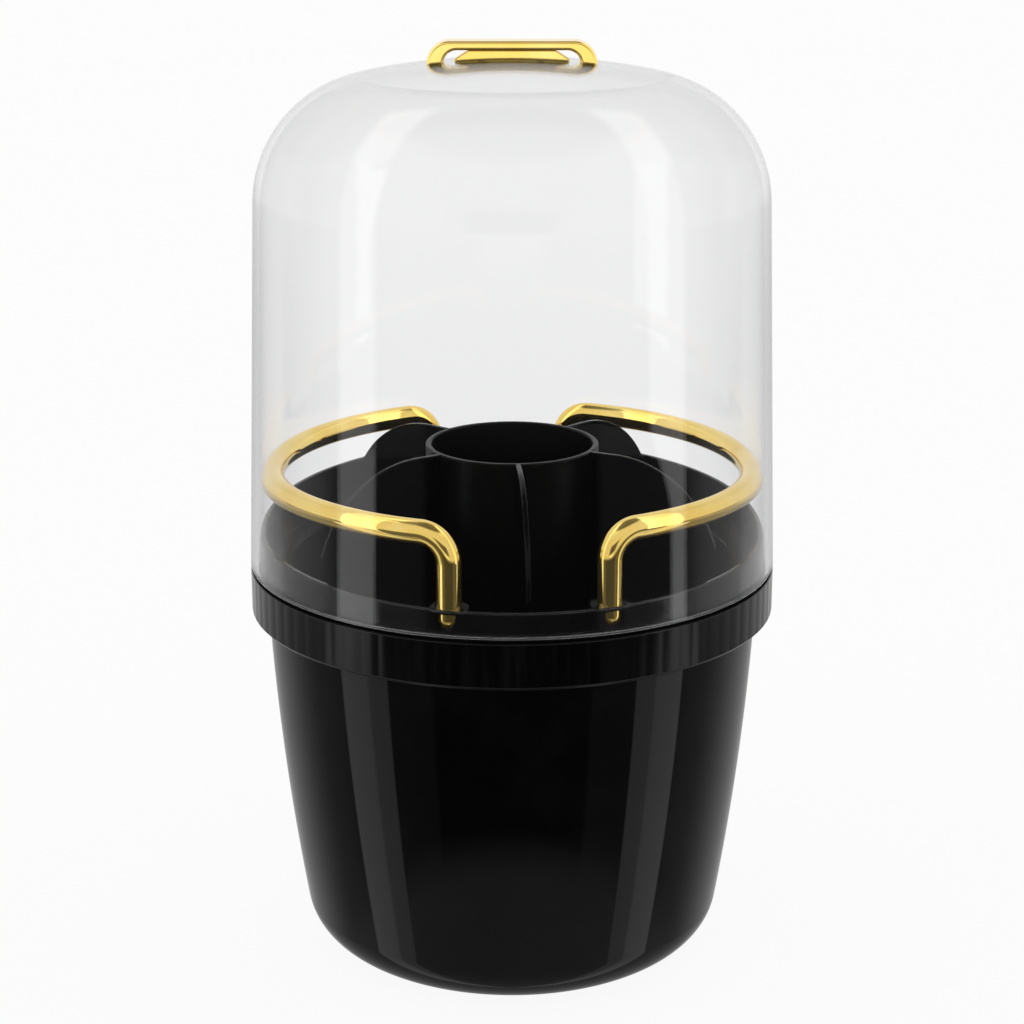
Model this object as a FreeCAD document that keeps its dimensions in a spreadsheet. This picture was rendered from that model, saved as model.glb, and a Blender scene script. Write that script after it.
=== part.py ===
"""Makeup brush holder with a lift-off clear cover, as a parametric document in millimetres.

A black cup stands on four pads. A collar turns on the cup's rim and carries a lift-out tray
with a middle tube, five dividers and two bent rails. A clear cover with a bridge handle stands
on the tray's flange. +Z is up, -Y is the front and the origin is under the middle of the cup.
"""

import FreeCAD, Part
import math
import os

import Sketcher

# Driving dimensions in millimetres and degrees
SIZES = {
    # Fits shared by all pieces
    "running_gap": 0.3,
    "fit_gap": 0.05,
    "slide_gap": 0.1,
    "overrun": 2.0,
    # Foot pads
    "pad_radius": 5.0,
    "pad_proud": 0.6,
    "pad_recess": 1.0,
    "pad_inset": 7.8,
    # Cup
    "cup_height": 94.2,
    "cup_rim_radius": 61.8,
    "cup_land_drop": 0.6,
    "cup_wall": 2.5,
    "cup_foot_radius": 40.8,
    "cup_corner_radius": 13.0,
    "cup_side_radius": 705.0,
    # Glide ring between the cup's rim and the collar
    "glide_thickness": 0.8,
    # Collar
    "collar_wall": 3.9,
    "collar_lip": 1.1,
    "collar_web": 3.0,
    "collar_skirt": 6.4,
    "collar_lower_round": 1.2,
    "collar_upper_round": 0.3,
    "shadow_gap": 0.95,
    # Tray
    "flange_thickness": 3.0,
    "rim_play": 0.45,
    "rim_wall": 1.4,
    "rim_height": 5.8,
    "rim_rise": 8.0,
    "bucket_lift": 12.2,
    "bucket_wall": 1.8,
    "bucket_corner_radius": 6.0,
    "bucket_foot_play": 0.2,
    "bucket_top_play": 1.5,
    "tray_turn": 4.0,
    # Middle tube and dividers
    "tube_radius": 21.7,
    "tube_wall": 1.5,
    "tube_rise": 29.6,
    "tube_lip_round": 0.5,
    "divider_thickness": 1.3,
    "divider_flat": 6.1,
    "divider_edge": 1.6,
    "divider_slot": 0.6,
    "side_divider_turn": 60.0,
    "rear_divider_turn": 134.0,
    # Rails and the bosses that hold them
    "rail_play": 0.6,
    "rail_tube_radius": 2.9,
    "rail_height": 23.1,
    "rail_bend_radius": 7.0,
    "rail_half_turn": 65.6,
    "boss_wall": 1.9,
    "socket_floor": 0.5,
    "window_shoulder": 0.45,
    "window_bridge": 0.9,
    # Clear cover
    "cover_wall": 1.8,
    "cover_draft": 2.0,
    "shoulder_start": 90.8,
    "shoulder_radius": 31.4,
    "crown_slope": 11.7,
    # Bridge handle
    "handle_length": 40.7,
    "handle_rise": 4.3,
    "handle_depth": 8.0,
    "handle_bar": 2.2,
    "handle_leg": 4.0,
    "handle_end_radius": 4.4,
    "handle_edge_round": 1.0,
    "block_length": 27.5,
    "block_top_length": 20.8,
    "block_depth": 6.4,
    "stud_radius": 1.25,
    "stud_reach": 7.0,
    "stud_bite": 1.2,
}
PAD_COUNT = 4
FULL_TURN = 360
HALF_TURN = 180
QUARTER_TURN = 90

doc = FreeCAD.newDocument("brush_holder")
sheet = doc.addObject("Spreadsheet::Sheet", "sizes")
for row, (alias, number) in enumerate(SIZES.items(), start=1):
    sheet.set(f"A{row}", alias)
    sheet.set(f"B{row}", str(number))
    sheet.setAlias(f"B{row}", alias)
doc.recompute()


class Size:
    """A dimension that carries its number and the sheet formula behind it."""

    def __init__(self, number, formula):
        self.number = number
        self.formula = formula

    def __add__(self, other):
        return Size(self.number + other.number, f"({self.formula} + {other.formula})")

    def __sub__(self, other):
        return Size(self.number - other.number, f"({self.formula} - {other.formula})")

    def __mul__(self, other):
        if isinstance(other, Size):
            return Size(self.number * other.number, f"({self.formula} * {other.formula})")
        return Size(self.number * other, f"({self.formula} * {other})")

    def __truediv__(self, other):
        if isinstance(other, Size):
            return Size(self.number / other.number, f"({self.formula} / {other.formula})")
        return Size(self.number / other, f"({self.formula} / {other})")

    def __neg__(self):
        return Size(-self.number, f"(0 - {self.formula})")

    def root(self):
        return Size(math.sqrt(self.number), f"sqrt({self.formula})")


def size(alias):
    """The named cell of the sheet."""
    return Size(SIZES[alias], f"sizes.{alias}")


def plain(number):
    """A plain number as a size, such as an angle."""
    return Size(number, str(number))


def sine(angle):
    return Size(math.sin(math.radians(angle.number)), f"sin({angle.formula})")


def cosine(angle):
    return Size(math.cos(math.radians(angle.number)), f"cos({angle.formula})")


def tangent(angle):
    return Size(math.tan(math.radians(angle.number)), f"tan({angle.formula})")


def arcsine(ratio):
    return Size(math.degrees(math.asin(ratio.number)), f"(asin({ratio.formula}) / 1 deg)")


def arccosine(ratio):
    return Size(math.degrees(math.acos(ratio.number)), f"(acos({ratio.formula}) / 1 deg)")


def bearing(x, y):
    """The angle from the first axis to the way to a point."""
    angle = math.degrees(math.atan2(y.number, x.number))
    return Size(angle, f"(atan2({y.formula}; {x.formula}) / 1 deg)")


def span(x, y):
    """The straight distance to a point."""
    return (x * x + y * y).root()


ZERO = plain(0)
nodes = []


def bind(thing, **sizes):
    """Ties each named property of a document object to its formula."""
    for name, value in sizes.items():
        thing.setExpression(name.replace("__", "."), value.formula)


def place(thing, x, y, z):
    """Moves a document object to a point."""
    bind(thing, Placement__Base__x=x, Placement__Base__y=y, Placement__Base__z=z)


def turn(thing, angle):
    """Turns a document object about the upright axis."""
    thing.Placement.Rotation = FreeCAD.Rotation(FreeCAD.Vector(0, 0, 1), angle.number)
    thing.setExpression("Placement.Rotation.Angle", angle.formula)


def keep(thing, label):
    """Lists a finished piece under the name of its node."""
    thing.Label = label
    nodes.append(thing)
    return thing


def origin_plane(body, role):
    return next(f for f in body.Origin.OriginFeatures if f.Role == role)


def start_sketch(body, role):
    """A sketch on one of the body's own origin planes."""
    sketch = body.newObject("Sketcher::SketchObject", f"{body.Name}_outline")
    sketch.AttachmentSupport = (origin_plane(body, role), [""])
    sketch.MapMode = "FlatFace"
    return sketch


def arc_between(first, last, radius):
    """The short arc from first to last: it turns left for a positive radius, right for a negative one."""
    chord = last - first
    left = FreeCAD.Vector(-chord.y, chord.x, 0).normalize()
    side = math.copysign(1, radius)
    reach = math.sqrt(max(radius**2 - (chord.Length / 2) ** 2, 0))
    centre = (first + last) / 2 + left * (side * reach)
    begin, end = (first, last) if side > 0 else (last, first)
    angles = [math.atan2(p.y - centre.y, p.x - centre.x) for p in (begin, end)]
    circle = Part.Circle(centre, FreeCAD.Vector(0, 0, 1), abs(radius))
    return Part.ArcOfCircle(circle, *angles)


def draw(sketch, corners):
    """Draws a closed outline through (x, y) corners; a third entry bends the side that leads there."""
    points = [FreeCAD.Vector(x.number, y.number, 0) for x, y, *_ in corners]
    starts, ends = [], []
    for here, point in enumerate(points):
        there = (here + 1) % len(points)
        bend = corners[there][2:]
        if bend:
            sketch.addGeometry(arc_between(point, points[there], bend[0].number))
        else:
            sketch.addGeometry(Part.LineSegment(point, points[there]))
        turns_right = bool(bend) and bend[0].number < 0
        starts.append(2 if turns_right else 1)
        ends.append(1 if turns_right else 2)
    for here in range(len(points)):
        there = (here + 1) % len(points)
        sketch.addConstraint(Sketcher.Constraint("Coincident", here, ends[here], there, starts[there]))
    for here, (x, y, *_) in enumerate(corners):
        for rule, value, axis in (("DistanceX", x, -2), ("DistanceY", y, -1)):
            if value is ZERO:
                sketch.addConstraint(Sketcher.Constraint("PointOnObject", here, starts[here], axis))
            else:
                limit = Sketcher.Constraint(rule, here, starts[here], value.number)
                bind_rule(sketch, sketch.addConstraint(limit), value)
        bend = corners[(here + 1) % len(corners)][2:]
        if bend:
            radius = bend[0] if bend[0].number > 0 else -bend[0]
            limit = Sketcher.Constraint("Radius", here, radius.number)
            bind_rule(sketch, sketch.addConstraint(limit), radius)


def bind_rule(sketch, index, value):
    """Ties one rule of a sketch to its formula."""
    sketch.setExpression(f"Constraints[{index}]", value.formula)


def turned(label, corners):
    """A piece turned about the upright axis from an outline of (radius, height) corners."""
    body = doc.addObject("PartDesign::Body", label)
    sketch = start_sketch(body, "XZ_Plane")
    draw(sketch, corners)
    solid = body.newObject("PartDesign::Revolution", f"{label}_turned")
    solid.Profile = sketch
    solid.ReferenceAxis = (sketch, ["V_Axis"])
    solid.Angle = FULL_TURN
    doc.recompute()
    return body


def slab(label, corners, thickness):
    """An upright slab, centred on the XZ plane, from an outline of (x, z) corners."""
    body = doc.addObject("PartDesign::Body", label)
    sketch = start_sketch(body, "XZ_Plane")
    bind(sketch, AttachmentOffset__Base__z=-thickness / 2)
    draw(sketch, corners)
    solid = body.newObject("PartDesign::Pad", f"{label}_pad")
    solid.Profile = sketch
    bind(solid, Length=thickness)
    doc.recompute()
    return body


def peg(label, radius, height, x, y, z):
    """An upright round peg whose foot is centred on a point."""
    thing = doc.addObject("Part::Cylinder", label)
    bind(thing, Radius=radius, Height=height)
    place(thing, x, y, z)
    return thing


def joined(label, things):
    thing = doc.addObject("Part::MultiFuse", label)
    thing.Shapes = things
    return thing


def cut(label, base, tools):
    """The base with the tools taken out of it."""
    thing = doc.addObject("Part::Cut", label)
    thing.Base = base
    thing.Tool = tools[0] if len(tools) == 1 else joined(f"{label}_tools", tools)
    return thing


# Heights that the pieces stack up to
cup_bottom = size("pad_proud")
cup_rim = cup_bottom + size("cup_height")
web_bottom = cup_rim + size("glide_thickness")
web_top = web_bottom + size("collar_web")
seat = web_top + size("flange_thickness")
skirt_bottom = web_bottom - size("collar_skirt")
bucket_floor = cup_bottom + size("cup_wall") + size("bucket_lift") + size("bucket_wall")
tube_top = seat + size("tube_rise")
rail_level = seat + size("rail_height")
rim_front = seat + size("rim_height")
rim_rear = rim_front + size("rim_rise")

# Radii that the pieces fit each other by
skirt_bore = size("cup_rim_radius") + size("running_gap")
throat = size("cup_rim_radius") - size("cup_wall") - size("running_gap")
collar_radius = skirt_bore + size("collar_wall")
lip_bore = collar_radius - size("collar_lip")
cover_bore = collar_radius - size("cover_wall") / cosine(size("cover_draft"))
rim_radius = cover_bore - size("rim_play")
cup_foot_bore = size("cup_foot_radius") + size("cup_corner_radius") - size("cup_wall")
bucket_corner = size("bucket_corner_radius") + size("bucket_wall")
bucket_foot = cup_foot_bore - size("bucket_foot_play") - bucket_corner
rail_bore = cover_bore - size("rail_height") * tangent(size("cover_draft"))
rail_radius = rail_bore - size("rail_play") - size("rail_tube_radius")
boss_radius = size("rail_tube_radius") + size("boss_wall")


def make_pads():
    """Round pads, each half sunk in a recess under the cup."""
    recesses = []
    reach = size("cup_foot_radius") - size("pad_inset")
    tall = size("pad_proud") + size("pad_recess")
    recess_radius = size("pad_radius") + size("slide_gap")
    for index in range(PAD_COUNT):
        angle = plain(FULL_TURN * (index + 1 / 2) / PAD_COUNT)
        x, y = reach * cosine(angle), reach * sine(angle)
        keep(peg(f"pad_{index + 1}", size("pad_radius"), tall, x, y, ZERO), f"foot_pad_{index + 1}")
        recesses.append(peg(f"recess_{index + 1}", recess_radius, tall, x, y, ZERO))
    return recesses


def cup_slope(rim, land):
    """The lean of the cup's bowed side where it leaves the round corner of the foot."""
    corner, bow = size("cup_corner_radius"), size("cup_side_radius")
    across, up = rim - size("cup_foot_radius"), land - cup_bottom - corner
    reach = span(across, up)
    lean = (reach * reach + corner * corner - bow * corner * 2) / (reach * (bow - corner) * 2)
    return plain(HALF_TURN) - bearing(across, up) - arccosine(lean)


def make_cup(recesses):
    """A cup with a rounded foot, a bowed side and an upright land for the collar at its top."""
    wall, foot = size("cup_wall"), size("cup_foot_radius")
    corner, bow = size("cup_corner_radius"), size("cup_side_radius")
    rim, land = size("cup_rim_radius"), skirt_bottom - size("cup_land_drop")
    slope, inner = cup_slope(rim, land), corner - wall
    body = turned("cup_turned", [
        (ZERO, cup_bottom),
        (foot, cup_bottom),
        (foot + corner * cosine(slope), cup_bottom + corner - corner * sine(slope), corner),
        (rim, land, bow),
        (rim, cup_rim),
        (rim - wall, cup_rim),
        (rim - wall, land),
        (foot + inner * cosine(slope), cup_bottom + corner - inner * sine(slope), wall - bow),
        (foot, cup_bottom + wall, wall - corner),
        (ZERO, cup_bottom + wall),
    ])
    keep(cut("cup_cut", body, recesses), "cup")


def make_glide_ring():
    """A flat slip washer that the collar's web turns on."""
    outer = size("cup_rim_radius") - size("running_gap")
    inner = size("cup_rim_radius") - size("cup_wall") + size("running_gap")
    keep(turned("glide_turned", [
        (inner, cup_rim),
        (outer, cup_rim),
        (outer, web_bottom),
        (inner, web_bottom),
    ]), "glide_ring")


def make_collar():
    """The turning band: a skirt over the cup's land, a web on its rim and a lip round the tray's flange."""
    outer, top = collar_radius, seat - size("shadow_gap")
    lower, upper = size("collar_lower_round"), size("collar_upper_round")
    keep(turned("collar_turned", [
        (skirt_bore, skirt_bottom),
        (outer - lower, skirt_bottom),
        (outer, skirt_bottom + lower, lower),
        (outer, top - upper),
        (outer - upper, top, upper),
        (lip_bore, top),
        (lip_bore, web_top),
        (throat, web_top),
        (throat, web_bottom),
        (skirt_bore, web_bottom),
    ]), "collar")


def bucket_side(corner, top):
    """Radius and height where the bucket's tapered side leaves its foot's corner, and its top radius."""
    across = throat - size("bucket_top_play") - bucket_foot
    up = web_top - bucket_floor - size("bucket_corner_radius")
    slope = bearing(up, across) - arcsine(bucket_corner / span(across, up))
    radius = bucket_foot + corner * cosine(slope)
    height = bucket_floor + size("bucket_corner_radius") - corner * sine(slope)
    return radius, height, radius + (top - height) * tangent(slope)


def post_spots():
    """The four rail feet, as (x, y): the tangent bends carry them past the ends of the rails."""
    bend, sweep = size("rail_bend_radius"), size("rail_half_turn")
    x = rail_radius * cosine(sweep) - bend * sine(sweep)
    y = rail_radius * sine(sweep) + bend * cosine(sweep)
    return [(x, y), (x, -y), (-x, y), (-x, -y)]


def rim_cutter(label, x, y, outline):
    """An opening of the given outline, from the middle of a rail's foot out through the rim."""
    deep, outward = boss_radius + size("overrun"), bearing(x, y)
    opening = slab(label, outline, deep)
    place(opening, x + deep / 2 * cosine(outward), y + deep / 2 * sine(outward), ZERO)
    turn(opening, outward - plain(QUARTER_TURN))
    return opening


def window_outline(floor):
    """A window in front of a rail's foot, with a round sill about the foot's round tip."""
    half = size("rail_tube_radius") - size("window_shoulder")
    foot = floor + size("rail_tube_radius")
    head = rim_front - size("window_bridge")
    return [
        (-half, foot),
        (ZERO, foot - half, half),
        (half, foot, half),
        (half, head),
        (-half, head),
    ]


def notch_outline(half):
    """An open notch above a boss, where the sloped rim stands higher than the boss does."""
    return [
        (-half, rim_front),
        (half, rim_front),
        (half, rim_rear + size("overrun")),
        (-half, rim_rear + size("overrun")),
    ]


def rim_wedge():
    """The space above the sloped rim, which is low at the front and rises evenly to the rear."""
    reach = rim_radius + size("overrun")
    extra = size("rim_rise") * (size("overrun") / rim_radius) / 2
    wedge = slab("rim_wedge", [
        (-reach, rim_front - extra),
        (reach, rim_rear + extra),
        (-reach, rim_rear + extra),
    ], reach * 2)
    turn(wedge, plain(QUARTER_TURN))
    return wedge


def make_tray():
    """A tapered bucket with a flange, a sloped rim and four bosses with windows for the rails' feet."""
    wall, corner = size("bucket_wall"), size("bucket_corner_radius")
    inner_foot, inner_height, inner_top = bucket_side(corner, seat)
    outer_foot, outer_height, outer_top = bucket_side(bucket_corner, web_top)
    flange = lip_bore - size("running_gap")
    rim, rim_inner = rim_radius, rim_radius - size("rim_wall")
    lean = (rim_rear - seat) * tangent(size("cover_draft"))
    body = turned("tray_turned", [
        (ZERO, bucket_floor - wall),
        (bucket_foot, bucket_floor - wall),
        (outer_foot, outer_height, bucket_corner),
        (outer_top, web_top),
        (flange, web_top),
        (flange, seat),
        (rim, seat),
        (rim - lean, rim_rear),
        (rim_inner - lean, rim_rear),
        (rim_inner, seat),
        (inner_top, seat),
        (inner_foot, inner_height),
        (bucket_foot, bucket_floor, -corner),
        (ZERO, bucket_floor),
    ])
    reach = (rim_inner + rim) / 2
    ring = turned("boss_ring", [
        (ZERO, seat),
        (reach, seat),
        (reach, rim_front),
        (ZERO, rim_front),
    ])
    floor, bore = seat + size("socket_floor"), size("rail_tube_radius") + size("fit_gap")
    pegs, cutters = [], [rim_wedge()]
    for index, (x, y) in enumerate(post_spots(), start=1):
        pegs.append(peg(f"boss_{index}", boss_radius, size("rim_height"), x, y, seat))
        cutters.append(peg(f"socket_{index}", bore, size("rim_height"), x, y, floor))
        cutters.append(rim_cutter(f"window_{index}", x, y, window_outline(floor)))
        cutters.append(rim_cutter(f"notch_{index}", x, y, notch_outline(bore)))
    bosses = doc.addObject("Part::Common", "bosses")
    bosses.Base = joined("boss_pegs", pegs)
    bosses.Tool = ring
    tray = cut("tray_cut", joined("tray_with_bosses", [body, bosses]), cutters)
    turn(tray, size("tray_turn"))
    keep(tray, "tray")


def divider_turns():
    """Angles of the dividers from the tray's front, as sheet sizes."""
    side, rear = size("side_divider_turn"), size("rear_divider_turn")
    return [ZERO, side, rear, -rear, -side]


def make_tube():
    """The middle tube with a shallow slot down its side for each divider."""
    outer, top, lip = size("tube_radius"), tube_top, size("tube_lip_round")
    inner = outer - size("tube_wall")
    body = turned("tube_turned", [
        (inner, bucket_floor),
        (outer, bucket_floor),
        (outer, top - lip),
        (outer - lip, top, lip),
        (inner + lip, top),
        (inner, top - lip, lip),
    ])
    slots = []
    wide, deep = size("divider_thickness") + size("slide_gap") * 2, size("divider_slot") + size("overrun")
    start, half = outer - size("divider_slot"), wide / 2
    for index, angle in enumerate(divider_turns(), start=1):
        slot = doc.addObject("Part::Box", f"slot_{index}")
        bind(slot, Length=deep, Width=wide, Height=top - bucket_floor)
        x = start * cosine(angle) + half * sine(angle)
        y = start * sine(angle) - half * cosine(angle)
        place(slot, x, y, bucket_floor)
        turn(slot, angle)
        slots.append(slot)
    tube = cut("tube_cut", body, slots)
    turn(tube, size("tray_turn") - plain(QUARTER_TURN))
    keep(tube, "center_tube")


def make_dividers():
    """Upright plates from the tube to the bucket's wall, with a large round outer corner above the rim."""
    gap, corner = size("slide_gap"), size("bucket_corner_radius")
    foot_radius, foot_height, top_radius = bucket_side(corner, seat)
    inner, outer = size("tube_radius") - size("divider_slot") + gap, top_radius - gap
    flat_end, edge = size("tube_radius") + size("divider_flat"), size("divider_edge")
    across, fall = outer - flat_end, size("tube_rise") - edge
    crest = (across * across + fall * fall) / fall / 2
    for index, angle in enumerate(divider_turns(), start=1):
        plate = slab(f"divider_plate_{index}", [
            (inner, bucket_floor),
            (bucket_foot - gap, bucket_floor),
            (foot_radius - gap, foot_height, corner),
            (outer, seat),
            (outer, seat + edge),
            (flat_end, tube_top, crest),
            (inner, tube_top),
        ], size("divider_thickness"))
        turn(plate, size("tray_turn") + angle - plain(QUARTER_TURN))
        keep(plate, f"divider_{index}")


def make_rail(label, angle):
    """A bent tube: a long level arc, a bend down at each end and a straight foot with a round tip."""
    reach, thick = rail_radius, size("rail_tube_radius")
    bend, sweep = size("rail_bend_radius"), size("rail_half_turn")
    arc = doc.addObject("Part::Torus", f"{label}_arc")
    bind(arc, Radius1=reach, Radius2=thick, Angle3=sweep * 2)
    place(arc, ZERO, ZERO, rail_level)
    turn(arc, -sweep)
    pieces = [arc]
    spots = post_spots()[:2]
    foot = seat + size("socket_floor") + thick
    for side, (x, y) in zip((1, -1), spots):
        knee = doc.addObject("Part::Torus", f"{label}_knee_{len(pieces)}")
        bind(knee, Radius1=bend, Radius2=thick)
        knee.Angle3 = QUARTER_TURN
        away = FreeCAD.Rotation(FreeCAD.Vector(0, 0, 1), side * (sweep.number + QUARTER_TURN))
        upright = FreeCAD.Rotation(FreeCAD.Vector(1, 1, 1), -FULL_TURN / 3)
        knee.Placement.Rotation = away.multiply(upright)
        place(knee, reach * cosine(sweep), reach * sine(sweep) * side, rail_level - bend)
        pieces.append(knee)
        pieces.append(peg(f"{label}_post_{len(pieces)}", thick, rail_level - bend - foot, x, y, foot))
        tip = doc.addObject("Part::Sphere", f"{label}_tip_{len(pieces)}")
        bind(tip, Radius=thick)
        place(tip, x, y, foot)
        pieces.append(tip)
    rail = joined(f"{label}_tube", pieces)
    turn(rail, angle)
    keep(rail, label)


def shoulder_centre():
    """The middle of the cover's round shoulder, as a radius and a height."""
    draft, start, bend = size("cover_draft"), size("shoulder_start"), size("shoulder_radius")
    return collar_radius - start * tangent(draft) - bend * cosine(draft), seat + start - bend * sine(draft)


def crown_shape():
    """The radius of the cover's shallow crown and the height of its centre."""
    bend, edge = size("shoulder_radius"), size("crown_slope")
    x, z = shoulder_centre()
    crown = x / sine(edge) + bend
    return crown, z + (bend - crown) * cosine(edge)


def make_cover():
    """A drafted clear shell with a round shoulder and a shallow crown, drilled for the handle's studs."""
    draft, edge, wall = size("cover_draft"), size("crown_slope"), size("cover_wall")
    bend, inner_bend = size("shoulder_radius"), size("shoulder_radius") - wall
    x, z = shoulder_centre()
    crown, crown_level = crown_shape()
    body = turned("cover_turned", [
        (cover_bore, seat),
        (collar_radius, seat),
        (x + bend * cosine(draft), z + bend * sine(draft)),
        (x + bend * sine(edge), z + bend * cosine(edge), bend),
        (ZERO, crown_level + crown, crown),
        (ZERO, crown_level + crown - wall),
        (x + inner_bend * sine(edge), z + inner_bend * cosine(edge), wall - crown),
        (x + inner_bend * cosine(draft), z + inner_bend * sine(draft), wall - bend),
    ])
    keep(cut("cover_cut", body, stud_holes("cover_hole")), "dome")


def stud_pegs(label, extra, bottom, top):
    """A pair of round pegs on the handle's long axis, each wider than a stud by extra."""
    reach, radius = size("stud_reach"), size("stud_radius") + extra
    return [peg(f"{label}_{n}", radius, top - bottom, x, ZERO, bottom)
            for n, x in enumerate((-reach, reach), start=1)]


def stud_span():
    """The lower and upper ends of the handle's studs."""
    crown, crown_level = crown_shape()
    inner, reach = crown - size("cover_wall"), size("stud_reach")
    bottom = crown_level + (inner * inner - reach * reach).root()
    bar_bottom = crown_level + crown + size("handle_rise") - size("handle_bar")
    return bottom, bar_bottom + size("stud_bite")


def stud_holes(label):
    bottom, top = stud_span()
    return stud_pegs(label, size("fit_gap"), bottom - size("overrun"), top)


def crown_ball(label):
    """The ball that the crown is part of, which shapes what stands on it."""
    crown, crown_level = crown_shape()
    ball = doc.addObject("Part::Sphere", label)
    bind(ball, Radius=crown)
    place(ball, ZERO, ZERO, crown_level)
    return ball


def soften_faces(body, radius):
    """Rounds the edges of a slab's front and back faces."""
    pad = body.Tip
    faces = [f"Face{n}" for n, face in enumerate(pad.Shape.Faces, start=1)
             if round(abs(face.normalAt(0, 0).y)) == 1]
    rounding = body.newObject("PartDesign::Fillet", f"{body.Name}_rounding")
    rounding.Base = (pad, faces)
    bind(rounding, Radius=radius)
    doc.recompute()


def make_handle():
    """A low bridge over a block, both seated on the crown and held by two studs."""
    crown, crown_level = crown_shape()
    apex = crown_level + crown
    top, half = apex + size("handle_rise"), size("handle_length") / 2
    bar_bottom, leg = top - size("handle_bar"), size("handle_leg")
    end, foot = size("handle_end_radius"), apex - size("overrun")
    inner_end = end - size("handle_bar")
    arch = slab("arch_slab", [
        (half - leg, foot),
        (half, foot),
        (half, top - end),
        (half - end, top, end),
        (end - half, top),
        (-half, top - end, end),
        (-half, foot),
        (leg - half, foot),
        (leg - half, bar_bottom - inner_end),
        (leg - half + inner_end, bar_bottom, -inner_end),
        (half - leg - inner_end, bar_bottom),
        (half - leg, bar_bottom - inner_end, -inner_end),
    ], size("handle_depth"))
    soften_faces(arch, size("handle_edge_round"))
    keep(cut("arch_cut", arch, [crown_ball("arch_ball")] + stud_holes("arch_hole")), "handle_arch")
    low, high = size("block_length") / 2, size("block_top_length") / 2
    block = slab("block_slab", [
        (-low, foot),
        (low, foot),
        (low, apex),
        (high, bar_bottom),
        (-high, bar_bottom),
        (-low, apex),
    ], size("block_depth"))
    keep(cut("block_cut", block, [crown_ball("block_ball")] + stud_holes("block_hole")), "handle_block")
    studs = doc.addObject("Part::Compound", "stud_pair")
    studs.Links = stud_pegs("stud", ZERO, *stud_span())
    keep(studs, "handle_studs")


make_cup(make_pads())
make_glide_ring()
make_collar()
make_tray()
make_tube()
make_dividers()
make_rail("rail_right", size("tray_turn"))
make_rail("rail_left", size("tray_turn") + plain(HALF_TURN))
make_cover()
make_handle()
doc.recompute()

for thing in doc.Objects:
    if "Invalid" in thing.State or "Error" in thing.State:
        raise RuntimeError(f"{thing.Label} failed: {thing.State}")
os.makedirs("parts", exist_ok=True)
for node in nodes:
    if node.Shape.isNull() or not node.Shape.isValid():
        raise RuntimeError(f"{node.Label} has no valid shape")
    node.Shape.exportStep(f"parts/{node.Label}.step")
    box = node.Shape.BoundBox
    print(f"{node.Label}: {len(node.Shape.Solids)} solid, {node.Shape.Volume:.1f} mm3,"
          f" z {box.ZMin:.2f} to {box.ZMax:.2f}, x {box.XMin:.2f} to {box.XMax:.2f}")
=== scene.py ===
"""Makeup brush holder: a glossy cup with a turning collar, a divided tray with bent rails and a clear cover.

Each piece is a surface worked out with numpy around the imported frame, in metres: +Z is up, -Y is the front.
"""

import math

import bpy
import numpy as np
from bpy.props import FloatProperty, FloatVectorProperty, PointerProperty
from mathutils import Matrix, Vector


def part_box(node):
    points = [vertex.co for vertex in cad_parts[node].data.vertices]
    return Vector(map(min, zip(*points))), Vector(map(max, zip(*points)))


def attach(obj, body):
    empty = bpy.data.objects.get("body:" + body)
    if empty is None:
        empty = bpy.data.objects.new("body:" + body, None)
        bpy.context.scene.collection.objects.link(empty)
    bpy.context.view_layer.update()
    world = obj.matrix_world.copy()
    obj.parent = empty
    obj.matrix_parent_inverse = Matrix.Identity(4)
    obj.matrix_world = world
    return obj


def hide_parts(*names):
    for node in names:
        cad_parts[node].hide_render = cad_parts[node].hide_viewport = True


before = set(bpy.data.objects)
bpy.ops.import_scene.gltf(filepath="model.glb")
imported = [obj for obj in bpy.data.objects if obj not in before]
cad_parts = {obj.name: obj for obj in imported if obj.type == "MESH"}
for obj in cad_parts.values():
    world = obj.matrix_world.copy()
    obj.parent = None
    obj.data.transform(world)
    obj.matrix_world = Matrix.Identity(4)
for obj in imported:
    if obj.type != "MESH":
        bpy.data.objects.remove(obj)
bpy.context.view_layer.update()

bl_info = {
    "name": "Brush holder",
    "version": (1, 0, 0),
    "blender": (4, 5, 0),
    "location": "View3D > Sidebar > Brush holder",
    "description": "Builds a makeup brush holder around its packed frame",
    "category": "Object",
}

TAU = 2 * math.pi
FLUTES = 90
RIM_STEPS = 480
WINDOW_STEPS = 16
BOSS_STEPS = 96
RAIL_STEPS = 161
BEND_STEPS = 25
TIP_STEPS = 13
DIVIDERS = (1, 2, 3, 4, 5)
PADS = (1, 2, 3, 4)
UP = np.array([0.0, 0.0, 1.0])
LEVEL = np.array([1.0, 0.0])
HAIR = 1e-7
CROWN_GAP = 2e-5
FLOOR_DROP = 5e-5

# The slow wave that the mould leaves in black plastic, as a scale and a height.
CUP_WAVE = (14.0, 0.00012)
TRAY_WAVE = (22.0, 0.00008)
INNER_WAVE = (30.0, 0.00006)

# Black plastic lighter in painted sheen streaks, smeared or left satin, and the two tones of the floor.
STREAK_SHEEN = (0.003, 0.003, 0.0032)
SMEARED = (0.004, 0.004, 0.0042)
SATIN = (0.007, 0.007, 0.0072)
FLOOR_DARK = (0.06, 0.06, 0.06)
FLOOR_PALE = (0.07, 0.07, 0.07)

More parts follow.
